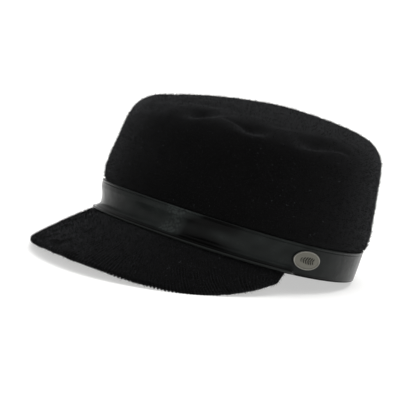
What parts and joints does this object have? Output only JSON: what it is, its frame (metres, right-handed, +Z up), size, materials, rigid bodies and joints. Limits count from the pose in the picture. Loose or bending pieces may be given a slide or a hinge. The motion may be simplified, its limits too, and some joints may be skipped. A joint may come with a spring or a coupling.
{
  "type": "army cap",
  "caption": "Knitted wool army cap with a tall soft-topped crown, a stiff sloping peak, a leather band and an oval metal plate on the wearer's left.",
  "frame": {"origin": "on the surface that the cap rests on, under the middle of its box", "axes": "+X towards the wearer's left, +Y from the peak to the back of the cap, +Z up. The cap leans back about 8 degrees, as it rests by itself"},
  "size_m": [0.1793, 0.2662, 0.1174],
  "materials": {
    "crown_knit": "black fulled wool knit with a short fuzz",
    "band_leather": "black finished leather, half gloss, fine grain, edges turned and pressed",
    "peak_knit": "black wool knit stretched over a board, fine ribs running out to the edge",
    "badge_metal": "dull pewter, blasted field inside a smooth raised border"
  },
  "bodies": {
    "root": {"crown": "crown_knit", "band": "band_leather", "peak": "peak_knit", "badge": "badge_metal"}
  },
  "joints": []
}
